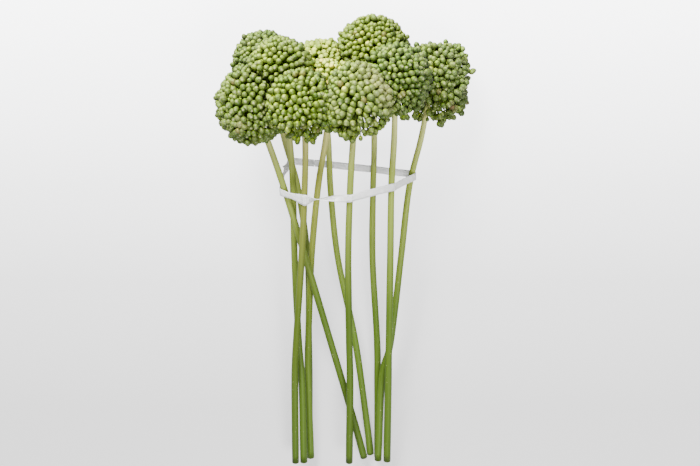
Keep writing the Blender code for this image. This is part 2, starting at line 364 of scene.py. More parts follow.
def bud_grid(profile, sides):
    """Return the points and faces of one bud, how far up each point lies, and the tip's own mark."""
    around = even_turns(sides)
    lobes = 1 - LOBE_DEPTH * (1 + np.cos(LOBES * around))
    points = [(0.0, 0.0, BUD_BOTTOM)]
    for height, radius in profile:
        points += [(radius * lobe * math.cos(angle), radius * lobe * math.sin(angle), height)
                   for lobe, angle in zip(lobes, around)]
    points.append((0.0, 0.0, BUD_TIP))
    last = len(points) - 1
    faces = []
    for side in range(sides):
        after = (side + 1) % sides
        faces.append((0, 1 + after, 1 + side))
        faces.append((last, last - sides + side, last - sides + after))
        for ring in range(len(profile) - 1):
            low = 1 + ring * sides
            faces.append((low + side, low + after, low + sides + after, low + sides + side))
    points = np.array(points)
    up = (points[:, 2] - BUD_BOTTOM) / (BUD_TIP - BUD_BOTTOM)
    tip = np.zeros(len(points))
    tip[-1] = 1.0
    return points, faces, up, tip


FULL_BUD = bud_grid(BUD_PROFILE, BUD_SIDES)
SMALL_BUD = bud_grid(BUD_PROFILE[::2], SMALL_BUD_SIDES)
print("a full bud has", len(FULL_BUD[1]), "faces, a small one", len(SMALL_BUD[1]))

# %% Turn bodies into any direction
NEARLY_UP = 0.9  # a direction this steep takes its sideways from X, not from Z


def turned_frames(directions, spin):
    """Return a turning matrix for each direction, which takes +Z to it, with a spin about it."""
    helper = np.where(np.abs(directions[:, 2:3]) < NEARLY_UP, [[0.0, 0.0, 1.0]], [[1.0, 0.0, 0.0]])
    side = unit(np.cross(helper, directions))
    other = np.cross(directions, side)
    cos = np.cos(spin)[:, None]
    sin = np.sin(spin)[:, None]
    return np.stack([cos * side + sin * other, cos * other - sin * side, directions], axis=2)


# %% [markdown]
# ## Stalks
# Each bud hangs on a thin pale stalk that starts at a knob in the middle of the head. Most of it is
# hidden, but it shows in the gaps below the head. A four-sided tube with one bend is enough for a
# body under a millimetre thick, and there are hundreds of them.

# %% Stalks from the knob to every bud
STALK_SIDES = 4
STALK_RADIUS = 0.45


def stalks(roots, bends, tips):
    """Return the points of thin tubes, each through a root, a bend and a tip, and one tube's faces."""
    frames = turned_frames(unit(tips - roots), np.zeros(len(roots)))
    around = even_turns(STALK_SIDES)
    ring = STALK_RADIUS * np.stack([np.cos(around), np.sin(around), np.zeros(STALK_SIDES)], axis=1)
    turned = np.einsum("nij,sj->nsi", frames, ring)
    levels = [middles[:, None, :] + turned for middles in (roots, bends, tips)]
    caps = [tuple(reversed(range(STALK_SIDES))), tuple(range(2 * STALK_SIDES, 3 * STALK_SIDES))]
    return np.concatenate(levels, axis=1), tube_faces(STALK_SIDES, len(levels)) + caps


# %% [markdown]
# ## Node helpers
# The finishes below are built from the same few steps: read a number, turn it into a colour, mix two
# colours, add some noise. Small functions for these keep each material short enough to read.

# %% Material nodes
def grey(level):
    """Return a grey colour."""
    return (level, level, level)


def put(tree, socket, value):
    """Give a socket its value: a link from another socket, a colour or a plain number."""
    if isinstance(value, bpy.types.NodeSocket):
        tree.links.new(value, socket)
    elif isinstance(value, tuple):
        socket.default_value = (*value, 1.0)
    else:
        socket.default_value = value


def attribute(tree, name):
    """Return the socket that reads a number which the mesh carries."""
    reader = tree.nodes.new("ShaderNodeAttribute")
    reader.attribute_name = name
    return reader.outputs["Fac"]


def ramp(tree, source, stops):
    """Return the colour of a ramp of (place, colour) stops, driven by a socket."""
    made = tree.nodes.new("ShaderNodeValToRGB")
    elements = made.color_ramp.elements
    while len(elements) < len(stops):
        elements.new(0.5)
    for element, (place, colour) in zip(elements, stops):
        element.position = place
        element.color = (*colour, 1.0)
    tree.links.new(source, made.inputs["Fac"])
    return made.outputs["Color"]


def mix(tree, factor, first, second, blend="MIX"):
    """Return a mix of two colours."""
    made = tree.nodes.new("ShaderNodeMix")
    made.data_type = "RGBA"
    made.blend_type = blend
    put(tree, made.inputs[0], factor)
    put(tree, made.inputs[6], first)
    put(tree, made.inputs[7], second)
    return made.outputs[2]


def multiply(tree, first, second):
    """Return two colours multiplied."""
    return mix(tree, 1.0, first, second, "MULTIPLY")


def product(tree, first, second, clamped=True):
    """Return the product of two numbers, as a rule kept between 0 and 1."""
    made = tree.nodes.new("ShaderNodeMath")
    made.operation = "MULTIPLY"
    made.use_clamp = clamped
    put(tree, made.inputs[0], first)
    put(tree, made.inputs[1], second)
    return made.outputs[0]


def vector_from(tree, *numbers):
    """Return a vector made of up to three numbers."""
    made = tree.nodes.new("ShaderNodeCombineXYZ")
    for socket, number in zip(made.inputs, numbers):
        tree.links.new(number, socket)
    return made.outputs[0]


def noise(tree, scale, detail, vector=None):
    """Return a noise value from the object's own coordinates, or from a given vector."""
    made = tree.nodes.new("ShaderNodeTexNoise")
    made.inputs["Scale"].default_value = scale
    made.inputs["Detail"].default_value = detail
    if vector is None:
        vector = tree.nodes.new("ShaderNodeTexCoord").outputs["Object"]
    tree.links.new(vector, made.inputs["Vector"])
    return made.outputs["Fac"]


def new_material(name, roughness, shine):
    """Return a node material, its tree and its shader."""
    material = bpy.data.materials.new(name)
    material.use_nodes = True
    shader = material.node_tree.nodes["Principled BSDF"]
    shader.inputs["Roughness"].default_value = roughness
    shader.inputs["Specular IOR Level"].default_value = shine
    return material, material.node_tree, shader


def let_light_in(shader, share, reach, by_colour):
    """Let some light pass through the body, with a reach in metres and its share for each colour."""
    shader.inputs["Subsurface Weight"].default_value = share
    shader.inputs["Subsurface Radius"].default_value = by_colour
    shader.inputs["Subsurface Scale"].default_value = reach


def add_bump(tree, shader, height, strength, distance):
    """Let a height value raise the surface's shading a little."""
    bump = tree.nodes.new("ShaderNodeBump")
    bump.inputs["Strength"].default_value = strength
    bump.inputs["Distance"].default_value = distance
    tree.links.new(height, bump.inputs["Height"])
    tree.links.new(bump.outputs["Normal"], shader.inputs["Normal"])


# %% [markdown]
# ## The waxy skin of the buds
# A bud is green under a thin wax, and the colour differs from bud to bud and from head to head.
# Painting an image would need a map for thousands of buds. Here the colour follows from numbers that
# each point carries: how ripe the bud is; how far up it the point lies, which paints shade near the
# stalk and a highlight at the tip; how much it faces the side that the key lamp lights, which paints
# that side pale, partly as wax, and the rest darker; how much wax, blush or rust it has; and where
# its pale tip is, partly a dry tip and partly a painted highlight. A bud also lets a little light
# through, which keeps the gaps green. How much paler the lit side gets was set by comparing renders
# with the photograph, not taken from a plant, so it is partly real wax and partly painted highlight
# and painted shade.

# %% Bud materials
DEEP_GREEN = (0.018, 0.042, 0.003)
LEAF_GREEN = (0.056, 0.104, 0.007)
LIME = (0.145, 0.205, 0.011)
STRAW = (0.405, 0.465, 0.062)
ORANGE = (0.450, 0.250, 0.020)
PALE_WAX = (0.225, 0.288, 0.054)
GREY_WAX = (0.205, 0.252, 0.076)
BLUSH = (0.190, 0.175, 0.070)
RUST = (0.130, 0.065, 0.025)
# The pale tip of a bud is partly a dry tip and partly a painted highlight.
PALE_TIP_HIGHLIGHT = (0.420, 0.430, 0.200)
RIPENESS = [(0.0, DEEP_GREEN), (0.30, LEAF_GREEN), (0.60, LIME), (0.85, STRAW), (1.0, ORANGE)]
# How much each place on a bud keeps of its colour: from the stalk to the tip, painted shade low on the
# bud and a painted highlight at the tip; from the side away from the key lamp to the lit side, painted
# shade and a painted highlight.
SHADE_AND_HIGHLIGHT_UP_THE_BUD = [(0.22, (0.60, 0.66, 0.34)), (0.75, (0.95, 0.95, 0.92)), (1.0, (1.20, 1.18, 1.15))]
PAINTED_LIGHT_AND_SHADE = [(0.15, (0.58, 0.66, 0.44)), (0.62, (0.42, 0.48, 0.33)), (0.86, (0.60, 0.64, 0.49)),
              (0.99, (3.40, 3.30, 2.70))]
# How much of the wax shows: more on the lit side, partly a painted highlight, and from one patch of the skin
# to the next.
WAX_BY_PAINTED_LIGHT = [(0.45, grey(0.18)), (0.96, grey(1.0))]
WAX_PATCHES = [(0.30, grey(0.3)), (0.68, grey(1.0))]
SEE_THROUGH = 0.35  # share of a bud's colour that is light from inside it
LIGHT_REACH = 0.003  # m that this light travels in the bud, and its shares by colour
LIGHT_REACH_BY_COLOUR = (0.7, 1.0, 0.3)


def bud_material(name, wax_colour, roughness):
    """Return the material of the buds and stalks of one kind of head."""
    material, tree, shader = new_material(name, roughness, shine=0.25)
    let_light_in(shader, SEE_THROUGH, LIGHT_REACH, LIGHT_REACH_BY_COLOUR)
    skin = ramp(tree, attribute(tree, "tone"), RIPENESS)
    skin = multiply(tree, skin, ramp(tree, attribute(tree, "up"), SHADE_AND_HIGHLIGHT_UP_THE_BUD))
    painted_lighting = attribute(tree, "painted_light")
    skin = multiply(tree, skin, ramp(tree, painted_lighting, PAINTED_LIGHT_AND_SHADE))
    skin = mix(tree, attribute(tree, "blush"), skin, BLUSH)
    patchy = ramp(tree, noise(tree, scale=700.0, detail=3.0), WAX_PATCHES)
    wax = product(tree, attribute(tree, "wax"), patchy)
    wax = product(tree, wax, ramp(tree, painted_lighting, WAX_BY_PAINTED_LIGHT))
    skin = mix(tree, wax, skin, wax_colour)
    skin = mix(tree, attribute(tree, "rust"), skin, RUST)
    skin = mix(tree, attribute(tree, "tip"), skin, PALE_TIP_HIGHLIGHT)
    tree.links.new(skin, shader.inputs["Base Color"])
    add_bump(tree, shader, noise(tree, scale=1500.0, detail=3.0), strength=0.2, distance=0.0003)
    return material


BUD_MATERIALS = {
    "buds_fresh": bud_material("buds_fresh", PALE_WAX, roughness=0.42),
    "buds_grey": bud_material("buds_grey", GREY_WAX, roughness=0.50),
    "buds_yellow": bud_material("buds_yellow", PALE_WAX, roughness=0.42),
}
print("bud finishes:", ", ".join(BUD_MATERIALS))

# %% [markdown]
# ## The character of each head
# No two heads are alike. Most are closed, but four are open below, where their lowest buds hang
# loose round the stem and light shows between them. The table gives for each head its finish, the
# size of its buds, how ripe and how waxy they are, how untidy it is, the angles round its stem that
# stay bare and that stay loose, and how much paler its painted light makes it. The patches change the
# colour or the height round one direction.

# %% Table of the heads' characters
CHARACTER_COLUMNS = ("slot", "bud", "tone", "wax", "untidy", "bare", "loose", "painted_light")
CHARACTER_ROWS = {
    "left_front": ("buds_fresh", 3.65, 0.29, 0.48, 1.0, 11, 11, 0.0),
    "left_back": ("buds_grey", 3.25, 0.30, 0.38, 1.0, 11, 11, 0.0),
    "left_middle": ("buds_fresh", 3.60, 0.37, 0.44, 0.8, 11, 11, 0.0),
    "centre_front": ("buds_yellow", 3.55, 0.40, 0.30, 1.2, 18, 92, 0.0),
    "centre_middle": ("buds_yellow", 3.30, 0.74, 0.25, 1.0, 11, 11, 0.06),
    "centre_back": ("buds_fresh", 3.30, 0.66, 0.85, 1.0, 11, 11, 0.18),
    "right_front": ("buds_grey", 3.75, 0.42, 0.50, 0.9, 18, 92, 0.0),
    "top": ("buds_fresh", 3.35, 0.46, 0.48, 1.2, 11, 11, 0.0),
    "right_middle": ("buds_grey", 3.50, 0.30, 0.28, 1.1, 13, 45, 0.0),
    "right_side": ("buds_grey", 3.50, 0.30, 0.48, 1.6, 16, 62, 0.0),
}
CHARACTER = {name: dict(zip(CHARACTER_COLUMNS, row)) for name, row in CHARACTER_ROWS.items()}
open_heads = [name for name, character in CHARACTER.items() if character["loose"] > character["bare"]]
print("open below:", ", ".join(open_heads))

# %% Patches of another colour or height
# Each patch: its direction from the head's middle, how wide it is in degrees, and what it adds there.
# Lift is in mm; the others are shares.
PATCH_EDGE = 1.5  # a patch ends this many of its widths from its middle, and fades over one width
# The tone patches towards the stem on the four open heads, and the tone and wax patch on right_side towards
# (-0.6, 0.0, 0.8), make buds paler as painted light: below those heads, and where right_middle shades
# right_side.
PATCHES = {
    "left_front": [
        ((-0.27, -0.31, 0.91), 9, {"blush": 0.6}), ((0.33, 0.35, 0.88), 30, {"tone": -0.06}),
        ((-1.0, -0.3, 0.3), 45, {"lift": -2.6}), ((-0.93, 0.28, 0.1), 11, {"lift": 1.0}),
        ((0.2, -0.9, 0.4), 40, {"tone": 0.07})],
    "left_back": [((-1.0, 0.2, 0.3), 40, {"lift": -2.0})],
    "left_middle": [((-0.46, 0.64, 0.62), 22, {"tone": 0.20, "wax": -0.2})],
    "centre_front": [
        ((-0.77, -0.05, 0.64), 45, {"tone": 0.14, "wax": -0.1}), ((-0.05, 0.96, 0.28), 8, {"rust": 0.5}),
        ((0.01, -0.52, 0.85), 6, {"rust": 0.5}), ((0.0, -0.95, 0.3), 45, {"tone": 0.05})],
    "right_front": [
        ((0.50, 0.81, 0.31), 30, {"blush": 0.40, "tone": 0.1}), ((0.87, 0.28, 0.40), 26, {"blush": 0.30}),
        ((0.56, 0.63, 0.54), 7, {"tone": 0.30}), ((0.84, 0.46, 0.28), 7, {"tone": 0.30}),
        ((-0.37, 0.50, 0.78), 10, {"tone": 0.22, "wax": -0.2}), ((-0.1, -0.95, 0.2), 50, {"tone": 0.18})],
    "top": [((-0.35, 0.44, 0.83), 25, {"tone": 0.10}), ((-0.08, 1.0, -0.1), 14, {"lift": 1.8})],
    "right_middle": [((0.11, -0.23, 0.97), 7, {"rust": 0.35}), ((0.0, -0.95, 0.3), 45, {"tone": 0.10})],
    "right_side": [
        ((-0.03, 0.61, 0.79), 8, {"tone": 0.45, "wax": -0.3}), ((0.45, -0.52, 0.73), 8, {"rust": 0.7}),
        ((0.66, 0.75, 0.0), 26, {"lift": 3.0}), ((0.50, -0.84, 0.2), 34, {"lift": 5.0}),
        ((-0.6, 0.0, 0.8), 40, {"tone": 0.08, "wax": 0.15}), ((-0.1, -0.95, 0.2), 55, {"tone": 0.14})],
}


def degrees_between(directions, other):
    """Return the angle of each direction from another one."""
    return np.degrees(np.arccos(np.clip(directions @ other, -1, 1)))


def patch_sum(name, directions, key):
    """Return what a head's patches add to one number in each direction."""
    total = np.zeros(len(directions))
    for middle, width, changes in PATCHES.get(name, []):
        share = np.clip(PATCH_EDGE - degrees_between(directions, unit(middle)) / width, 0, 1)
        total += changes.get(key, 0) * share
    return total


# %% The colour numbers of the buds
TONE_SPREAD = 0.09
WAX_SPREAD = 0.14
MEAN_BLUSH = 0.03
BLUSH_SPREAD = 0.05
RUSTY_SHARE = 0.006  # share of the buds that are rusty, and how strongly
RUSTINESS = 0.4


def colour_numbers(name, directions, rng):
    """Return the numbers that each bud of a head carries for its colour."""
    count = len(directions)
    character = CHARACTER[name]
    values = {
        "tone": rng.normal(character["tone"], TONE_SPREAD, count),
        "wax": rng.normal(character["wax"], WAX_SPREAD, count),
        "blush": rng.normal(MEAN_BLUSH, BLUSH_SPREAD, count),
        "rust": np.where(rng.random(count) < RUSTY_SHARE, RUSTINESS, 0.0),
    }
    return {key: np.clip(values[key] + patch_sum(name, directions, key), 0, 1) for key in values}


# %% [markdown]
# ## Growing the heads
# A head is grown in layers. The outer buds fill the surface. Where the head is loose near the stem,
# some are dropped and the others are smaller and hang at uneven depths. Small buds further in fill
# the gaps, because between real buds the eye meets more green and never a black hole. A few last
# ones stand out of the outline or hang free below.

# %% The buds on a head's surface
BUD_SPREAD = 0.12  # how much the buds of a head differ in size
BUD_LIMITS = (0.75, 1.22)  # the least and the most of it
LIFT_SPREAD = 1.2  # how much they differ in height, mm
SETTLING = 0.3  # how far all of them sink in, mm
STRAYING = 0.022  # how far they stray sideways, as a share of the reach
WAVES = 5
WAVE_LIFT = 1.0  # slow rise and fall of the surface, mm
WAVE_SPREAD = 3.2  # how quickly it may change, in radians for each head radius
HELD_DOWN = 0.3  # a bud that is pressed more than this never stands out
LEAST_KEPT = 0.38  # share of the buds that stay where a head is loosest
THINNING = 0.7  # the powers by which buds grow fewer and smaller towards there
SHRINKING = 0.6
LOOSE_DEPTH = 0.22  # how far in the loose buds may hang, as a share of the reach
LOOSE_SIZE = 0.76  # size of the loosest buds


def slow_waves(directions, rng):
    """Return a gentle rise and fall, mostly between -1 and 1, over a head."""
    total = np.zeros(len(directions))
    for _ in range(WAVES):
        total += np.sin(directions @ rng.normal(0, WAVE_SPREAD, 3) + rng.uniform(0, 2 * math.pi))
    return total / (WAVES / 2)


def outer_buds(name, rng):
    """Return the directions, radii and places of the buds on a head's surface."""
    half = HEADS[name]["half"]
    planes = pressed_planes(name)
    character = CHARACTER[name]
    directions = deal_directions(half, planes, character["bud"], FILL, rng)
    radii = character["bud"] * np.clip(rng.normal(1, BUD_SPREAD, len(directions)), *BUD_LIMITS)
    directions = push_apart(directions, radii, half, planes)
    directions = unit(directions + rng.normal(0, STRAYING, directions.shape))
    angle = degrees_between(directions, stem_axis(name))
    looseness = np.clip((character["loose"] - angle) / (character["loose"] - character["bare"] + 1), 0, 1)
    thinned = rng.random(len(angle)) <= (1 - LEAST_KEPT) * looseness ** THINNING
    kept = (angle > character["bare"]) & ~thinned
    directions, radii, looseness = directions[kept], radii[kept], looseness[kept]
    radii = radii * (1 - (1 - LOOSE_SIZE) * looseness ** SHRINKING)
    places, outward, pressed = on_surface(directions, half, planes, radii)
    lift = LIFT_SPREAD * rng.normal(0, 1, len(radii)) + WAVE_LIFT * slow_waves(directions, rng)
    lift = character["untidy"] * lift + patch_sum(name, directions, "lift")
    lift = np.where(pressed > HELD_DOWN, np.minimum(lift, 0), lift) - SETTLING
    depth = 1 - LOOSE_DEPTH * looseness * rng.random(len(radii))
    return directions, radii, (places + outward * lift[:, None]) * depth[:, None]


# %% The small buds further in
INNER_DEPTH = 4.7  # mm below the surface
INNER_BUD = 2.5
INNER_SPREAD = 0.1
INNER_LIMITS = (0.7, 1.2)
INNER_FILL = 0.36
INNER_CLEAR = 4  # degrees past the loose buds that stay free of inner ones


def inner_buds(name, rng):
    """Return the same for the small buds that fill the gaps from further in."""
    half = HEADS[name]["half"]
    planes = pressed_planes(name)
    directions = deal_directions(half, planes, INNER_BUD, INNER_FILL, rng)
    angle = degrees_between(directions, stem_axis(name))
    directions = directions[angle > CHARACTER[name]["loose"] + INNER_CLEAR]
    radii = INNER_BUD * np.clip(rng.normal(1, INNER_SPREAD, len(directions)), *INNER_LIMITS)
    places, _, _ = on_surface(directions, half, planes, radii + INNER_DEPTH)
    return directions, radii, places


# %% The buds that stand out or hang
# Each cluster that stands out: its middle from the head's own, its spread in mm, and its count.
CLUSTERS = {
    "left_front": [((-34, 8, 0), 2.0, 4)],
    "centre_front": [((-5, -31, 6), 3.0, 10), ((7, -34, 4), 2.8, 7), ((28, -23, 5), 3.0, 9),
                     ((28, 12, 19), 2.5, 5), ((28, -2, 20), 2.5, 6), ((28, -14, 18), 2.5, 6)],
    "centre_back": [((2, 36, 0), 1.2, 2)],
    "top": [((-3, 36, -4), 1.8, 4)],
    "right_front": [((-16, -31, 5), 3.5, 9), ((-5, -35, 5), 3.0, 8)],
    "right_middle": [((10, -37, 4), 2.2, 6)],
    "right_side": [((43, 13, 0), 1.6, 3), ((21, 36, 0), 4.5, 20), ((30, 30, 1), 3.0, 12),
                   ((15, 44, -5), 1.5, 2), ((29, 38, -3), 2.2, 6), ((-14, -38, 3), 3.0, 7),
                   ((9, -38, 2), 3.2, 9)],
}
CLUSTER_SIZES = (0.80, 1.0)  # least and most, as shares of the head's own bud
HANGING = {"centre_front": 12, "right_front": 16, "right_middle": 8, "right_side": 14}
HANGING_SPREAD = 0.42
HANGING_SIZES = (2.0, 2.7)
HANGING_DEPTHS = (0.86, 1.03)  # shares of the reach
HANGING_CLEAR = 4  # degrees that hanging buds may come into the bare ring round the stem


def lone_buds(name, rng):
    """Return the same for the buds that stand out of the outline or hang below the head."""
    places = []
    radii = []
    for middle, spread, count in CLUSTERS.get(name, []):
        places.append(middle + rng.normal(0, spread, (count, 3)))
        radii.append(CHARACTER[name]["bud"] * rng.uniform(*CLUSTER_SIZES, count))
    directions = unit(stem_axis(name) + rng.normal(0, HANGING_SPREAD, (HANGING.get(name, 0), 3)))
    angle = degrees_between(directions, stem_axis(name))
    directions = directions[angle > CHARACTER[name]["bare"] - HANGING_CLEAR]
    small = rng.uniform(*HANGING_SIZES, len(directions))
    hung, _, _ = on_surface(directions, HEADS[name]["half"], pressed_planes(name), small)
    places.append(hung * rng.uniform(*HANGING_DEPTHS, (len(directions), 1)))
    radii.append(small)
    places = np.concatenate(places)
    return unit(places), np.concatenate(radii), places


# %% [markdown]
# ## Turning numbers into buds
# Each bud points away from the knob, but never exactly, and is a little longer or thinner than the
# next. All buds of a layer are turned and moved in one sum over arrays. The layers, the stalks and the
# knob then become one piece, because a head is one thing to lift, colour and replace.

# %% Turn and move the buds of a layer
POINTING_SPREAD = 0.17
MEAN_STRETCH = (0.98, 0.98, 1.06)
STRETCH_SPREAD = (0.03, 0.03, 0.06)


def place_buds(grid, directions, radii, places, rng):
    """Return the points of turned and moved buds, and the way each one points."""
    count = len(radii)
    pointing = unit(directions + rng.normal(0, POINTING_SPREAD, (count, 3)))
    frames = turned_frames(pointing, rng.uniform(0, 2 * math.pi, count))
    stretch = rng.normal(MEAN_STRETCH, STRETCH_SPREAD, (count, 3))
    grids = grid[None, :, :] * (stretch * radii[:, None])[:, None, :]
    return np.einsum("nij,npj->npi", frames, grids) + places[:, None, :], pointing


def add_bodies(parts, faces, points, values):
    """Add a row of like bodies to the parts of a head, with the numbers that their points carry."""
    count, size = points.shape[:2]
    first_point = sum(len(rows) for rows in parts["points"])
    parts["faces"] += repeat_faces(faces, count, size, first_point)
    parts["points"].append(points.reshape(-1, 3))
    for key, numbers in values.items():
        parts[key].append(np.broadcast_to(numbers, (count, size)).ravel())


# %% Build the heads
HEAD_SEED = 40
KNOB_RADIUS = 4.5
STALK_END = 0.9  # how far below its bud's middle a stalk ends, in radii of the bud
STALK_BEND = 0.45  # where a stalk bends, as a share of its length from the bud
STALK_BOW = 1.2  # mm that it bends aside
PAINTED_LIGHT_SIDE = unit((-0.35, 0.85, 0.45))  # the side that the key lamp lights: every bud is painted paler there, partly as wax, and darker on its other side
INNER_PAINTED_LIGHT = 0.25  # inner buds are this much paler, in place of light that seeps through to them
LONE_PAINTED_LIGHT = 0.15  # and so are the buds that hang free: a painted light for the light that reaches them from all sides
TIPPED_SHARE = 0.6  # share of the buds that have a pale tip, partly a dry tip and partly a painted highlight, and how pale it is
TIP_PALENESS = (0.3, 0.9)
LAYERS = ((outer_buds, FULL_BUD, 0.0), (inner_buds, SMALL_BUD, INNER_PAINTED_LIGHT), (lone_buds, FULL_BUD, LONE_PAINTED_LIGHT))
STALK_NUMBERS = {"tone": 0.60, "wax": 0.40, "blush": 0.0, "rust": 0.0, "up": 1.0, "tip": 0.0, "painted_light": 0.6}


def grow_layer(parts, name, grow, template, paler, rng):
    """Add a layer of buds to the parts of a head, and return their stalks' roots, bends and ends."""
    grid, faces, up, tip = template
    directions, radii, places = grow(name, rng)
    count = len(radii)
    places[:, 2] = np.maximum(places[:, 2], radii - middle_of(name)[2])  # none below the floor
    points, pointing = place_buds(grid, directions, radii, places, rng)
    values = {key: numbers[:, None] for key, numbers in colour_numbers(name, directions, rng).items()}
    tip_paleness = np.where(rng.random(count) < TIPPED_SHARE, rng.uniform(*TIP_PALENESS, count), 0.0)
    facing = unit(points - points.mean(axis=1, keepdims=True)) @ PAINTED_LIGHT_SIDE
    values["up"] = up
    values["tip"] = tip * tip_paleness[:, None]
    values["painted_light"] = 0.5 + 0.5 * facing + (CHARACTER[name]["painted_light"] + paler)
    add_bodies(parts, faces, points, values)
    root = directions * KNOB_RADIUS
    end = places - pointing * (STALK_END * radii)[:, None]
    bow = rng.normal(0, STALK_BOW, (count, 3))
    return root, (1 - STALK_BEND) * end + STALK_BEND * root + bow, end


def make_head(number, name):
    """Make one head, as one piece, and return how many buds it has."""
    rng = np.random.default_rng(HEAD_SEED + number)
    parts = {key: [] for key in ("faces", "points", *STALK_NUMBERS)}
    ways = [grow_layer(parts, name, *layer, rng) for layer in LAYERS]
    roots, bends, ends = (np.concatenate(way) for way in zip(*ways))
    stalk_points, stalk_faces = stalks(roots, bends, ends)
    add_bodies(parts, stalk_faces, stalk_points, STALK_NUMBERS)
    add_bodies(parts, FULL_BUD[1], FULL_BUD[0][None] * KNOB_RADIUS, STALK_NUMBERS)
    points = np.concatenate(parts["points"]) + middle_of(name)
    values = {key: np.concatenate(parts[key]) for key in STALK_NUMBERS}
    slot = CHARACTER[name]["slot"]
    piece = new_piece("bud_head_" + name, points, parts["faces"], values, BUD_MATERIALS[slot])
    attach(piece, "root")
    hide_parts("head_" + name)
    return len(roots)


for number, head_name in enumerate(HEADS):
    print(head_name, "has", make_head(number, head_name), "buds")

# %% [markdown]
# ## The skin of the stems
# The stems are smooth and round, with fine lengthwise lines and a few small specks. Under the head
# they are pale olive, partly their own colour and partly painted light where the heads shade them,
# and they turn green further down. The lines have to follow each stem round its bends, so every point
# carries its place along the stem and round it, and the noise is read from those in place of the
# object's own coordinates.

# %% Stem materials
# The neck colours are partly the stems' own pale olive and partly painted light where the heads shade them.
NECK_OLIVE = (0.460, 0.470, 0.170)
UPPER_GREEN = (0.215, 0.262, 0.044)
LOWER_GREEN = (0.055, 0.095, 0.009)
FOOT_GREEN = (0.048, 0.085, 0.009)
NECK_TAN = (0.470, 0.440, 0.170)
UPPER_OLIVE = (0.205, 0.215, 0.038)
LOWER_OLIVE = (0.066, 0.100, 0.009)
PITH = (0.520, 0.540, 0.330)
SPECK = (0.420, 0.400, 0.200)
STREAKS = [(0.32, (0.70, 0.74, 0.62)), (0.68, (1.20, 1.18, 1.14))]
PAINTED_LIGHT_BY_STEM = [(0.0, grey(0.6)), (1.0, grey(1.3))]  # painted light: from a stem in shadow to one in the light
SPECKS = [(0.73, grey(0.0)), (0.79, grey(0.5))]


def stem_material(name, neck, upper, lower):
    """Return the material of one kind of stem."""
    material, tree, shader = new_material(name, roughness=0.50, shine=0.15)
    along = attribute(tree, "along")
    skin = ramp(tree, along, [(0.08, neck), (0.28, upper), (0.60, lower), (1.0, FOOT_GREEN)])
    place = vector_from(tree, attribute(tree, "round_x"), attribute(tree, "round_y"), along)
    streak = noise(tree, scale=6.0, detail=4.0, vector=place)
    skin = multiply(tree, skin, ramp(tree, streak, STREAKS))
    skin = multiply(tree, skin, ramp(tree, attribute(tree, "stem_painted_light"), PAINTED_LIGHT_BY_STEM))
    skin = mix(tree, ramp(tree, noise(tree, scale=420.0, detail=1.0), SPECKS), skin, SPECK)
    skin = mix(tree, attribute(tree, "pith"), skin, PITH)
    tree.links.new(skin, shader.inputs["Base Color"])
    add_bump(tree, shader, streak, strength=0.35, distance=0.0004)
    return material


STEM_MATERIALS = {
    "stem_green": stem_material("stem_green", NECK_OLIVE, UPPER_GREEN, LOWER_GREEN),
    "stem_olive": stem_material("stem_olive", NECK_TAN, UPPER_OLIVE, LOWER_OLIVE),
}
print("stem finishes:", ", ".join(STEM_MATERIALS))

# %% [markdown]
# ## The stems
# A stem is a tube along its path, a little thicker at the cut end. A perfectly round tube looks like
# plastic, so each of its sides keeps a slightly different radius, and the whole swells and narrows
# slowly. The cut shows a pale pith inside a green rim, which a few rings across the end give.

# %% Build the stems
STEM_SEED = 140
NECK_RADIUS = 3.1
STEM_SIDES = 24
STEM_STEPS = 66
STEM_TOP = 2.0  # mm from the head's middle, inside the knob
RIB_HEIGHT = 0.022
# Two swells, as shares of the radius, and how many radians of each fit in a stem's length.
LONG_SWELL = 0.018
LONG_SWELL_RADIANS = (14, 22)
LARGEST_SHIFT = 6  # radians that the long one is shifted at most
SHORT_SWELL = 0.012
SHORT_SWELL_RADIANS = 47
# Each ring across the cut: its share of the radius, how deep in the stem it lies, and how pale it is.
CUT_RINGS = [(0.93, 0.15, 0.1), (0.80, 0.35, 1.0), (0.45, 0.30, 0.9), (0.12, 0.45, 0.7)]
OLIVE_STEMS = ("centre_front", "centre_middle")
# How much painted light each stem gets, to make the stems that lie in the heads' shade paler.
PLAIN_PAINTED_LIGHT = 0.5
STEM_PAINTED_LIGHT = {"centre_back": 1.0, "left_back": 0.65, "top": 1.0, "right_middle": 0.75, "left_middle": 0.65,
               "centre_middle": 1.0, "right_side": 0.85}


def stem_radius(share):
    """Return a stem's radius at a share of its way down."""
    return NECK_RADIUS + (CUT_RADIUS - NECK_RADIUS) * share


def stem_rings(path, radii, ribs):
    """Return rings of points round a path, and the path's direction at each."""
    along = unit(np.gradient(path, axis=0))
    side = unit(np.cross(along, [0.0, 0.0, 1.0]))
    other = np.cross(side, along)
    around = even_turns(STEM_SIDES)[None, :, None]
    ring = np.cos(around) * side[:, None, :] + np.sin(around) * other[:, None, :]
    return path[:, None, :] + ring * (radii[:, None] * ribs[None, :])[:, :, None], along


def stem_faces(ring_count):
    """Return the faces of a stem, whose rings turn the other way round than a stalk's."""
    faces = [(first, fourth, third, second)
             for first, second, third, fourth in tube_faces(STEM_SIDES, ring_count)]
    last = (ring_count - 1) * STEM_SIDES
    return faces + [tuple(range(STEM_SIDES)), tuple(reversed(range(last, last + STEM_SIDES)))]


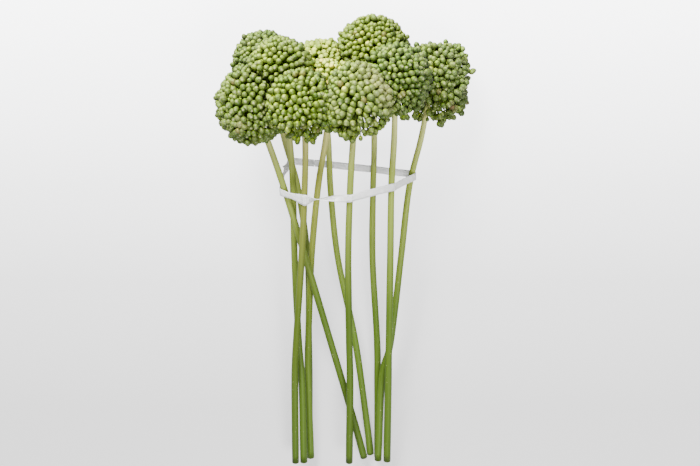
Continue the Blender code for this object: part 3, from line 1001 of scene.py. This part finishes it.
def make_stem(number, name):
    """Make one stem, from the knob in its head to the cut."""
    rng = np.random.default_rng(STEM_SEED + number)
    top = middle_of(name) + stem_axis(name) * STEM_TOP
    path = np.vstack([top, stem_path(name, STEM_STEPS)])
    step = np.linspace(0, 1, STEM_STEPS)
    radii = np.append(NECK_RADIUS, stem_radius(step))
    step = np.append(0, step)
    swell = 1 + LONG_SWELL * np.sin(step * rng.uniform(*LONG_SWELL_RADIANS) + rng.uniform(0, LARGEST_SHIFT))
    swell = swell + SHORT_SWELL * np.sin(step * SHORT_SWELL_RADIANS)
    ribs = 1 + rng.normal(0, RIB_HEIGHT / 2, STEM_SIDES)
    rings, along = stem_rings(path, radii * swell, ribs)
    points = [rings.reshape(-1, 3)]
    pith = [np.zeros(len(path) * STEM_SIDES)]
    for share, depth, pale in CUT_RINGS:
        points.append(path[-1] + share * (rings[-1] - path[-1]) - along[-1] * depth)
        pith.append(np.full(STEM_SIDES, pale))
    ring_count = len(path) + len(CUT_RINGS)
    around = np.tile(even_turns(STEM_SIDES), ring_count)
    values = {
        "along": np.repeat(np.append(step, np.ones(len(CUT_RINGS))), STEM_SIDES),
        "round_x": np.cos(around),
        "round_y": np.sin(around),
        "pith": np.concatenate(pith),
        "stem_painted_light": np.full(ring_count * STEM_SIDES, STEM_PAINTED_LIGHT.get(name, PLAIN_PAINTED_LIGHT)),
    }
    slot = "stem_olive" if name in OLIVE_STEMS else "stem_green"
    points = np.concatenate(points)
    piece = new_piece("round_stem_" + name, points, stem_faces(ring_count), values, STEM_MATERIALS[slot])
    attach(piece, "root")
    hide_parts("stem_" + name)


for number, head_name in enumerate(STEMS):
    make_stem(number, head_name)
print("stems with", STEM_SIDES, "sides and", STEM_STEPS, "rings")

# %% [markdown]
# ## The way of the ribbon
# The ribbon is a thin flat strip, drawn round the outermost stems. Where it touches a stem it bends,
# and between two stems it runs straight. That is the outline of a convex hull, worked out in the
# ribbon's own slanted plane, round a circle at each stem. One corner of the loop is drawn up and the
# opposite one down, so the plane is warped a little.

# %% The loop round the stems
RIBBON_WIDTH = 8.5
RIBBON_THICKNESS = 0.3
RIBBON_MIDDLE = np.array([0.0, 55.0, 70.0])
RIBBON_UP = unit((-0.03, 1.0, 0.14))  # direction that the loop's hole looks in
RIBBON_WARP = 0.0026  # how much the plane is warped, for each mm across and each mm deep
RIBBON_CLEARANCE = 0.75  # mm from a stem to the ribbon's middle line
RIBBON_STEPS = 420
CIRCLE_POINTS = 24  # points of the circle round each stem
STEM_POINTS = 200  # points on each stem, among which the ones at the ribbon are found

ribbon_across = unit(np.cross((1.0, 0.0, 0.0), RIBBON_UP))
ribbon_side = np.cross(RIBBON_UP, ribbon_across)


def ribbon_rise(spots):
    """Return how far points are above the warped surface in which the ribbon's middle line lies."""
    arm = spots - RIBBON_MIDDLE
    return arm @ RIBBON_UP - RIBBON_WARP * arm[..., 0] * arm[..., 2]


def ribbon_loop():
    """Return even steps along the ribbon's middle line, and how long it is."""
    outline = []
    around = even_turns(CIRCLE_POINTS)
    for name in STEMS:
        path = stem_path(name, STEM_POINTS)
        for edge in (-RIBBON_WIDTH / 2, RIBBON_WIDTH / 2):
            index = np.argmin(np.abs(ribbon_rise(path) - edge))
            radius = stem_radius(index / (STEM_POINTS - 1)) + RIBBON_CLEARANCE
            arm = path[index] - RIBBON_MIDDLE
            across = arm @ ribbon_side + radius * np.cos(around)
            deep = arm @ ribbon_across + radius * np.sin(around)
            outline += list(zip(across, deep))
    corners = np.array([outline[index] for index in convex_hull_2d([Vector(spot) for spot in outline])])
    closed = np.vstack([corners, corners[:1]])
    travelled = np.append(0, np.cumsum(np.linalg.norm(np.diff(closed, axis=0), axis=1)))
    stops = np.linspace(0, travelled[-1], RIBBON_STEPS, endpoint=False)
    flat = np.stack([np.interp(stops, travelled, closed[:, axis]) for axis in (0, 1)], axis=1)
    spots = RIBBON_MIDDLE + flat[:, :1] * ribbon_side + flat[:, 1:] * ribbon_across
    return spots - ribbon_rise(spots)[:, None] * RIBBON_UP, travelled[-1]


loop, loop_length = ribbon_loop()
print("the ribbon is", round(loop_length), "mm long")

# %% [markdown]
# ## The slack of the ribbon
# A hand-tied ribbon isn't even. At the front it is gathered wide over one stem, turns over once on its
# way to the next, and hangs a little lower from there. At the back left it turns over again, which
# brings its outer side out again. The table gives these for places along the front, from left to
# right, and the turn at the left is given by height.

# %% The ribbon's width, height and turn along the way
# Each row: the place across the front, the width as a share, the rise in mm, and the turn in degrees.
FRONT_OF_RIBBON = np.array([
    (-76, 1.00, -1.0, 0), (-66, 0.80, -0.8, 0), (-60, 0.95, -0.8, 0), (-54, 1.40, -1.3, 0),
    (-48, 1.55, -1.8, 0), (-44, 1.25, -1.2, 15), (-39, 0.90, -0.9, 45), (-34, 0.80, -0.9, 74),
    (-27, 0.80, -0.9, 94), (-20, 0.85, -0.9, 118), (-12, 0.95, -1.4, 145), (0, 1.00, -2.4, 180),
    (25, 1.03, -2.3, 180), (45, 1.05, -2.0, 180), (74, 1.00, -1.6, 180),
])
FRONT_BEGINS = ([-76, 76], [68.0, 42.0])  # from left to right, how far forward the front begins
LEFT_SIDE = -40
LEFT_TURN_FROM = 30.0  # height in mm at which the turn at the left sets in
LEFT_TURN_TO = 50.0


def ribbon_form(spots):
    """Return the width, rise and turn of the ribbon at each step of its loop."""
    front = spots @ ribbon_across > np.interp(spots[:, 0], *FRONT_BEGINS)
    places, *columns = FRONT_OF_RIBBON.T
    width, rise, turn = (np.interp(spots[:, 0], places, column) for column in columns)
    left_turn = 180 * np.clip((LEFT_TURN_FROM - spots[:, 2]) / (LEFT_TURN_TO - LEFT_TURN_FROM) + 1, 0, 1)
    back_turn = np.where(spots[:, 0] < LEFT_SIDE, 180 + left_turn, 180)
    turn = np.where(front & (spots[:, 2] > LEFT_TURN_TO), turn, back_turn)
    return np.where(front, width, 1.0), np.where(front, rise, 0.0), np.radians(turn)


# %% The satin of the ribbon
# Darker cross lines where the ribbon was creased: painted shade.
CREASE_SHADE = [(0.30, (0.88, 0.89, 0.92)), (0.65, (0.96, 0.965, 0.98))]
EDGE_WHITE = (0.95, 0.95, 0.97)
EDGE_SHARE = 0.25


def ribbon_material():
    """Return the satin white of the ribbon, with faint darker cross lines, painted shade where it was
    creased.
    """
    material, tree, shader = new_material("ribbon_white", roughness=0.32, shine=0.5)
    let_light_in(shader, share=0.9, reach=0.002, by_colour=grey(1.0))
    creases = noise(tree, scale=160.0, detail=2.0, vector=vector_from(tree, attribute(tree, "travel")))
    skin = ramp(tree, creases, CREASE_SHADE)
    skin = mix(tree, product(tree, attribute(tree, "edge"), EDGE_SHARE), skin, EDGE_WHITE)
    tree.links.new(skin, shader.inputs["Base Color"])
    add_bump(tree, shader, creases, strength=0.3, distance=0.0004)
    return material


# %% Build the ribbon
RIBBON_SEED = 340
RIBBON_ROWS = 5
RIPPLES = [(0.12, 31, 0.0), (0.10, 53, 1.0)]  # height in mm, number round the loop, and shift
CURL_STEP = 0.05  # how much the curl may change from one step to the next
CURL_HEIGHT = 0.1  # mm that the edges stand out for each unit of curl


def make_ribbon(material):
    """Make the ribbon as a thin closed strip."""
    rng = np.random.default_rng(RIBBON_SEED)
    tangent = unit(np.roll(loop, -1, axis=0) - np.roll(loop, 1, axis=0))
    outward = unit(np.cross(tangent, RIBBON_UP))
    if ((loop - loop.mean(axis=0)) * outward).sum() < 0:
        outward = -outward
    width, rise, turn = ribbon_form(loop)
    travelled = np.linspace(0, 2 * math.pi, RIBBON_STEPS, endpoint=False)
    ripple = sum(height * np.sin(number * travelled + shift) for height, number, shift in RIPPLES)
    spots = loop + RIBBON_UP * rise[:, None] + outward * ripple[:, None]
    wide = RIBBON_UP * np.cos(turn)[:, None] + outward * np.sin(turn)[:, None]
    thick = outward * np.cos(turn)[:, None] - RIBBON_UP * np.sin(turn)[:, None]
    across = np.linspace(-0.5, 0.5, RIBBON_ROWS)
    curl = rng.normal(0, CURL_STEP, RIBBON_STEPS).cumsum() * CURL_HEIGHT
    points = []
    for half_thickness, places in ((0.5, across), (-0.5, across[::-1])):
        for share in places:
            offset = wide * (RIBBON_WIDTH * width * share)[:, None]
            bow = thick * (half_thickness * RIBBON_THICKNESS + curl * (share * 2) ** 2)[:, None]
            points.append(spots + offset + bow)
    ring = len(points)
    values = {
        "edge": np.tile(np.abs(np.concatenate([across, across[::-1]])) * 2, RIBBON_STEPS),
        "travel": np.repeat(np.arange(RIBBON_STEPS) / RIBBON_STEPS, ring),
    }
    points = np.stack(points, axis=1).reshape(-1, 3)
    piece = new_piece("white_ribbon", points, tube_faces(ring, RIBBON_STEPS, closed=True), values, material)
    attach(piece, "root")
    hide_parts("ribbon")


make_ribbon(ribbon_material())

# %% [markdown]
# ## Floor and light
# The bunch stands before a bright ground that is far behind it and hardly lights it, brightest past
# the heads and falling off toward the cut ends. The light comes from in front and a little above.
# Lying down, that is a pale floor, a lamp past the heads, a broader and weaker one nearly overhead,
# and a dim sky. A floor that is really so bright would wash out the dark gaps between the buds, so
# part of its brightness is a glow that the lens sees and the bunch doesn't.

# %% Floor
FLOOR_SIZE = 8.0
FLOOR_DROP = 0.0002  # m below the bunch
FLOOR_COLOUR = (0.42, 0.415, 0.41)
FLOOR_GLOW = 5.8
GLOW_FROM = -0.21  # m along the bunch, from where the glow sets in to where it is full
GLOW_TO = 0.30
GLOW_TINT = (0.97, 0.98, 1.0)
GLOW_STOPS = [(0.0, 0.11), (0.32, 0.21), (0.55, 0.39), (0.77, 0.66), (1.0, 1.0)]


def floor_material():
    """Return the material of the floor, whose glow only the camera's own rays see."""
    material, tree, shader = new_material("floor_paper", roughness=0.9, shine=0.2)
    put(tree, shader.inputs["Base Color"], FLOOR_COLOUR)
    place = tree.nodes.new("ShaderNodeSeparateXYZ")
    tree.links.new(tree.nodes.new("ShaderNodeTexCoord").outputs["Object"], place.inputs[0])
    reach = tree.nodes.new("ShaderNodeMapRange")
    tree.links.new(place.outputs[1], reach.inputs["Value"])
    reach.inputs["From Min"].default_value = GLOW_FROM
    reach.inputs["From Max"].default_value = GLOW_TO
    stops = [(stop, tuple(level * part for part in GLOW_TINT)) for stop, level in GLOW_STOPS]
    tree.links.new(ramp(tree, reach.outputs[0], stops), shader.inputs["Emission Color"])
    seen_by_camera = tree.nodes.new("ShaderNodeLightPath").outputs["Is Camera Ray"]
    glow = product(tree, seen_by_camera, FLOOR_GLOW, clamped=False)
    tree.links.new(glow, shader.inputs["Emission Strength"])
    return material


bpy.ops.mesh.primitive_plane_add(size=FLOOR_SIZE, location=(0, 0, -FLOOR_DROP))
floor = bpy.context.object
floor.name = "floor"
floor.data.materials.append(floor_material())

# %% Lights
LIGHT_AIM = Vector((0.0, 0.10, 0.08))
SKY_COLOUR = (0.95, 0.97, 1.0, 1.0)
SKY_STRENGTH = 0.42


def area_light(name, direction, distance, size, power):
    """Add a square lamp that shines on the heads from a direction."""
    lamp = bpy.data.lights.new(name, "AREA")
    lamp.size = size
    lamp.energy = power
    thing = bpy.data.objects.new(name, lamp)
    arm = Vector(direction).normalized() * distance
    thing.location = LIGHT_AIM + arm
    thing.rotation_euler = (-arm).to_track_quat("-Z", "Y").to_euler()
    bpy.context.scene.collection.objects.link(thing)


area_light("key_lamp", (-0.25, 0.74, 0.64), distance=2.0, size=0.7, power=140)
area_light("fill_lamp", (0.30, -0.35, 0.88), distance=2.0, size=1.0, power=66)

world = bpy.data.worlds.new("soft_sky")
world.use_nodes = True
background = world.node_tree.nodes["Background"]
background.inputs["Color"].default_value = SKY_COLOUR
background.inputs["Strength"].default_value = SKY_STRENGTH
bpy.context.scene.world = world
print(len(bpy.data.lights), "lamps and the sky", world.name)
